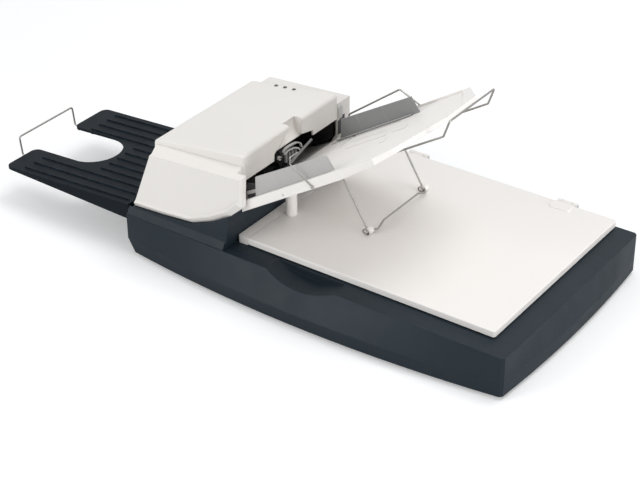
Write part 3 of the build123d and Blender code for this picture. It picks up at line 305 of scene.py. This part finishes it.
def shade_smooth_by_angle():
    """Smooth shading on the curved faces only, so that flat faces stay flat."""
    for thing in nodes.values():
        for polygon in thing.data.polygons:
            polygon.use_smooth = True
        thing.data.set_sharp_from_angle(angle=SHARP_ANGLE)


shade_smooth_by_angle()


# Pieces that the solids leave out. The tray's own axes: up its slope, and square to it
SLOPE = Vector((0.84526, 0, 0.53435))
STAND = Vector((-0.53435, 0, 0.84526))
ROOT = Vector((-0.1265, 0, 0.1355))
FLOOR_W = 0.012


def on_tray(u, y, w=0.0):
    """A point of the sloping tray: along it, across it and above its floor, in mm."""
    return ROOT + SLOPE * (u / 1000) + STAND * (FLOOR_W + w / 1000) + Vector((0, y / 1000, 0))


def mm(x, y, z):
    """A point or a length given in mm."""
    return Vector((x, y, z)) / 1000


def finish_piece(thing, body, slot):
    bpy.context.scene.collection.objects.link(thing)
    thing.data.materials.append(materials[slot])
    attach(thing, body)


def plates(name, outlines, push, body, slot, round_off=0.0002):
    """Flat plates with softened edges: each outline is pushed along one vector."""
    build = bmesh.new()
    for outline in outlines:
        low = [build.verts.new(p) for p in outline]
        high = [build.verts.new(p + push) for p in outline]
        build.faces.new(low)
        build.faces.new(high[::-1])
        for i in range(len(low)):
            j = (i + 1) % len(low)
            build.faces.new((low[i], high[i], high[j], low[j]))
    bmesh.ops.recalc_face_normals(build, faces=build.faces)
    bmesh.ops.bevel(
        build, geom=build.edges[:], offset=round_off, segments=2, affect="EDGES", clamp_overlap=True
    )
    mesh = bpy.data.meshes.new(name)
    build.to_mesh(mesh)
    build.free()
    finish_piece(bpy.data.objects.new(name, mesh), body, slot)


def band(name, path, wide, thick, body, slot):
    """A bent strip of sheet metal: a rectangle swept along a path in one plane."""
    build = bmesh.new()
    rings = []
    for i, point in enumerate(path):
        before = path[max(i - 1, 0)]
        after = path[min(i + 1, len(path) - 1)]
        across = (after - before).normalized().cross(wide.normalized())
        corners = (
            point - wide / 2 - across * thick / 2,
            point + wide / 2 - across * thick / 2,
            point + wide / 2 + across * thick / 2,
            point - wide / 2 + across * thick / 2,
        )
        rings.append([build.verts.new(c) for c in corners])
    for first, second in zip(rings, rings[1:]):
        for i in range(4):
            j = (i + 1) % 4
            build.faces.new((first[i], first[j], second[j], second[i]))
    build.faces.new(rings[0][::-1])
    build.faces.new(rings[-1])
    bmesh.ops.recalc_face_normals(build, faces=build.faces)
    mesh = bpy.data.meshes.new(name)
    build.to_mesh(mesh)
    build.free()
    for polygon in mesh.polygons:
        polygon.use_smooth = True
    mesh.set_sharp_from_angle(angle=math.radians(40))
    finish_piece(bpy.data.objects.new(name, mesh), body, slot)


def bent_wire(name, points, radius, body, slot):
    data = bpy.data.curves.new(name, "CURVE")
    data.dimensions = "3D"
    data.bevel_depth = radius
    data.bevel_resolution = 4
    data.use_fill_caps = True
    line = data.splines.new("NURBS")
    line.points.add(len(points) - 1)
    for spot, point in zip(line.points, points):
        spot.co = (*point, 1)
    line.order_u = 3
    line.use_endpoint_u = True
    finish_piece(bpy.data.objects.new(name, data), body, slot)


# What shows in the mouth of the feeder: outlines as (y, z) in mm, at a place along X
MOUTH_X = -131.5
STRIP_WIDE = 4
LEFT_STRIP = ((-67, 184), (-65, 187), (-60, 189), (-48, 189), (-33, 187), (-24, 182), (-20, 173))
RIGHT_STRIP = ((-65, 180), (-56, 183), (-41, 181), (-30, 176), (-26, 171))
EYE_Y = -77
EYE_Z = 179
EYE_RADIUS = 2.6
EYE_STEPS = 15
EYE_STEP = math.pi / 8
FIN_X = -135
FIN_DEPTH = 4
FIN_THICK = 3
FINS = ((-60, 163, 181), (-52, 162, 179), (-44, 161, 178), (-36, 161, 175))
BAR_X = -129.5
BAR_OUTLINE = ((-56, 163), (2, 179), (5, 175.5), (-51, 158.5))
# A dark plate over the white inner face of the rear cap: painted shade for the dark shadow in the
# feeder's mouth
SHADE_PLATE_X = -129.95
SHADE_PLATE_OUTLINE = ((75, 152), (93, 152), (93, 183), (75, 176))


def across_machine(x, outline):
    return [mm(x, y, z) for y, z in outline]


def make_mechanism():
    wide = mm(STRIP_WIDE, 0, 0)
    for name, slot, spots in (
        ("leaf_spring_left", "guide_light", LEFT_STRIP),
        ("leaf_spring_right", "peg_grey", RIGHT_STRIP),
    ):
        band(name, across_machine(MOUTH_X, spots), wide, 0.0018, "feeder_lid", slot)
    ring = [
        (EYE_Y + EYE_RADIUS * math.cos(i * EYE_STEP), EYE_Z + EYE_RADIUS * math.sin(i * EYE_STEP))
        for i in range(EYE_STEPS)
    ]
    band("spring_eye", across_machine(MOUTH_X, ring), wide, 0.0012, "feeder_lid", "guide_light")
    fins = []
    for y, low, high in FINS:
        outline = ((y, low), (y + FIN_THICK, low), (y + FIN_THICK, high), (y, high - 2))
        fins.append(across_machine(FIN_X, outline))
    plates("roller_shroud", fins, mm(FIN_DEPTH, 0, 0), "feeder_lid", "guide_dark")
    bar = across_machine(BAR_X, BAR_OUTLINE)
    plates("deflector_bar", [bar], mm(1.5, 0, 0), "feeder_lid", "guide_dark")
    # Painted shade: the dark plate that hides the rear cap's inner face
    edge = across_machine(SHADE_PLATE_X, SHADE_PLATE_OUTLINE)
    plates("cap_shade_plate", [edge], mm(0.7, 0, 0), "scanner_base", "mech_dark")


# Dark panel at the root of the tray, painted shade for the dark gap between the feeder and the
# front guide, and the light strip on it, as (x, z) in mm
SHADE_PANEL_Y = -169
SHADE_PANEL_OUTLINE = ((-122, 153), (-106, 163), (-106, 186), (-122, 182))
STRIP_Y = -170
STRIP_OUTLINE = ((-122, 163), (-106, 172), (-106, 178), (-122, 169))


def make_root():
    # The dark panel is painted shade standing in for the shaded gap
    shade_panel = [mm(x, SHADE_PANEL_Y, z) for x, z in SHADE_PANEL_OUTLINE]
    plates("root_shade_panel", [shade_panel], mm(0, 2, 0), "tray", "mech_dark")
    strip = [mm(x, STRIP_Y, z) for x, z in STRIP_OUTLINE]
    plates("root_strip", [strip], mm(0, 1.5, 0), "tray", "guide_light")


def patch(start, end, low, high, w, slant=0):
    """Corners of a patch on the tray's floor, in mm; slant draws its rear corners in."""
    corners = ((start, low), (end, low), (end - slant, high), (start + slant, high))
    return [on_tray(u, y, w) for u, y in corners]


# Lower edge of the side guides, in mm, and the lines moulded across them, in metres
GUIDE_START = -105
GUIDE_RUN = 143
GUIDE_START_Z = 163.6
GUIDE_RISE = 90.4
FRONT_FACE_Y = -171.15
REAR_FACE_Y = 47.85
LINE_TALL = 0.0295
LINE_WIDE = 0.0005


def guide_lines(name, y, shares, body, slot):
    lines = []
    for share in shares:
        foot = mm(GUIDE_START + GUIDE_RUN * share, y, GUIDE_START_Z + GUIDE_RISE * share)
        top = foot + STAND * LINE_TALL
        lines.append([foot, foot + SLOPE * LINE_WIDE, top + SLOPE * LINE_WIDE, top])
    plates(name, lines, mm(0, 0.2, 0), body, slot, 0.00003)


def make_guide_details():
    guide_lines("front_guide_lines", FRONT_FACE_Y, (0.36, 0.68), "guide_front", "peg_grey")
    guide_lines("rear_guide_lines", REAR_FACE_Y, (0.3, 0.62), "guide_rear", "guide_light")
    foot = patch(30, 190, 40, 48, 1.2)
    plates("rear_guide_foot", [foot], STAND * 0.0012, "guide_rear", "guide_light", 0.0003)


# Low mouldings on the tray, as start and end along it and low and high across it, in mm
MOULDINGS = ((112, 196, -36, -24), (96, 170, -2, 6), (206, 232, -30, -12), (214, 226, -76, -62))
MOULDING_SLANT = 6
SKIN_W = 0.02


def make_tray_details():
    # Painted shade: a flat grey strip on the tray floor for the dark shaded line beside the rear
    # guide's foot
    shade_line = patch(24, 176, 32, 34, SKIN_W)
    plates("tray_shade_line", [shade_line], STAND * 0.00025, "tray", "guide_dark", 0.00005)
    raised = [patch(*spot, SKIN_W, MOULDING_SLANT) for spot in MOULDINGS]
    plates("tray_mouldings", raised, STAND * 0.0006, "tray", "cover_white", 0.0002)


# Coils of wire beside the stand's clips, in mm
COIL_X = 12
COIL_Z = 88
COIL_RADIUS = 4.4
COIL_LENGTH = 3.5
COIL_STEPS = 24
COIL_TURN = 4 * math.pi
COIL_GAP = 9


def make_stand_coils():
    for name, y in (("stand_coil_front", -48), ("stand_coil_rear", 106)):
        points = []
        for i in range(COIL_STEPS + 1):
            share = i / COIL_STEPS
            turn = share * COIL_TURN
            x = COIL_X + COIL_RADIUS * math.cos(turn)
            z = COIL_Z + COIL_RADIUS * math.sin(turn)
            points.append(mm(x, y - COIL_GAP + COIL_LENGTH * share, z))
        bent_wire(name, points, 0.0007, "stand", "wire_steel")


make_mechanism()
make_root()
make_guide_details()
make_tray_details()
make_stand_coils()


# Floor, lamps and background
FLOOR_HALF = 14
FLOOR_GLOW = 0.24
SOFT_STRENGTH = 0.6
BACKGROUND_STRENGTH = 1.0


def make_floor():
    mesh = bpy.data.meshes.new("floor")
    build = bmesh.new()
    bmesh.ops.create_grid(build, x_segments=1, y_segments=1, size=FLOOR_HALF)
    build.to_mesh(mesh)
    build.free()
    floor = bpy.data.objects.new("floor", mesh)
    bpy.context.scene.collection.objects.link(floor)
    m = Maker("floor_paper")
    m.shader.inputs["Roughness"].default_value = 0.9
    m.shader.inputs["Specular IOR Level"].default_value = 0.1
    tone = m.mix(m.noise(3, 3), (0.82, 0.82, 0.82, 1), (0.84, 0.84, 0.84, 1))
    m.link(tone, m.shader.inputs["Base Color"])
    path = m.node("ShaderNodeLightPath")
    glow = m.node("ShaderNodeEmission")
    glow.inputs["Color"].default_value = (1, 1, 1, 1)
    strength = m.node("ShaderNodeMath", operation="MULTIPLY")
    strength.inputs[1].default_value = FLOOR_GLOW
    m.link(path.outputs["Is Camera Ray"], strength.inputs[0])
    m.link(strength.outputs[0], glow.inputs["Strength"])
    add = m.node("ShaderNodeAddShader")
    m.link(m.shader.outputs[0], add.inputs[0])
    m.link(glow.outputs[0], add.inputs[1])
    m.link(add.outputs[0], m.output.inputs["Surface"])
    mesh.materials.append(m.material)


def make_world():
    world = bpy.data.worlds.new("studio")
    bpy.context.scene.world = world
    world.use_nodes = True
    tree = world.node_tree
    tree.nodes.clear()
    output = tree.nodes.new("ShaderNodeOutputWorld")
    mix = tree.nodes.new("ShaderNodeMixShader")
    soft = tree.nodes.new("ShaderNodeBackground")
    soft.inputs["Color"].default_value = (0.96, 0.98, 1.0, 1)
    soft.inputs["Strength"].default_value = SOFT_STRENGTH
    plain = tree.nodes.new("ShaderNodeBackground")
    plain.inputs["Color"].default_value = (1, 1, 1, 1)
    plain.inputs["Strength"].default_value = BACKGROUND_STRENGTH
    path = tree.nodes.new("ShaderNodeLightPath")
    seen = path.outputs["Is Camera Ray"]
    for other in ("Is Transmission Ray", "Is Glossy Ray"):
        both = tree.nodes.new("ShaderNodeMath")
        both.operation = "MAXIMUM"
        tree.links.new(seen, both.inputs[0])
        tree.links.new(path.outputs[other], both.inputs[1])
        seen = both.outputs[0]
    tree.links.new(seen, mix.inputs["Fac"])
    tree.links.new(soft.outputs[0], mix.inputs[1])
    tree.links.new(plain.outputs[0], mix.inputs[2])
    tree.links.new(mix.outputs[0], output.inputs["Surface"])


def make_lamp(name, place, aim, size, power):
    data = bpy.data.lights.new(name, "AREA")
    data.shape = "DISK"
    data.size = size
    data.energy = power
    lamp = bpy.data.objects.new(name, data)
    lamp.location = place
    lamp.rotation_euler = (Vector(aim) - Vector(place)).to_track_quat("-Z", "Y").to_euler()
    bpy.context.scene.collection.objects.link(lamp)


make_camera()
make_world()
make_floor()
make_lamp("key", (0.5, 0.4, 2.7), (0, 0, 0.1), 1.5, 26)
make_lamp("side", (2.7, -0.6, 0.5), (0.3, 0, 0.05), 1.0, 26)
make_lamp("front", (-1.4, -2.6, 1.3), (-0.2, 0, 0.1), 1.8, 28)

bpy.context.scene.view_settings.view_transform = "Standard"
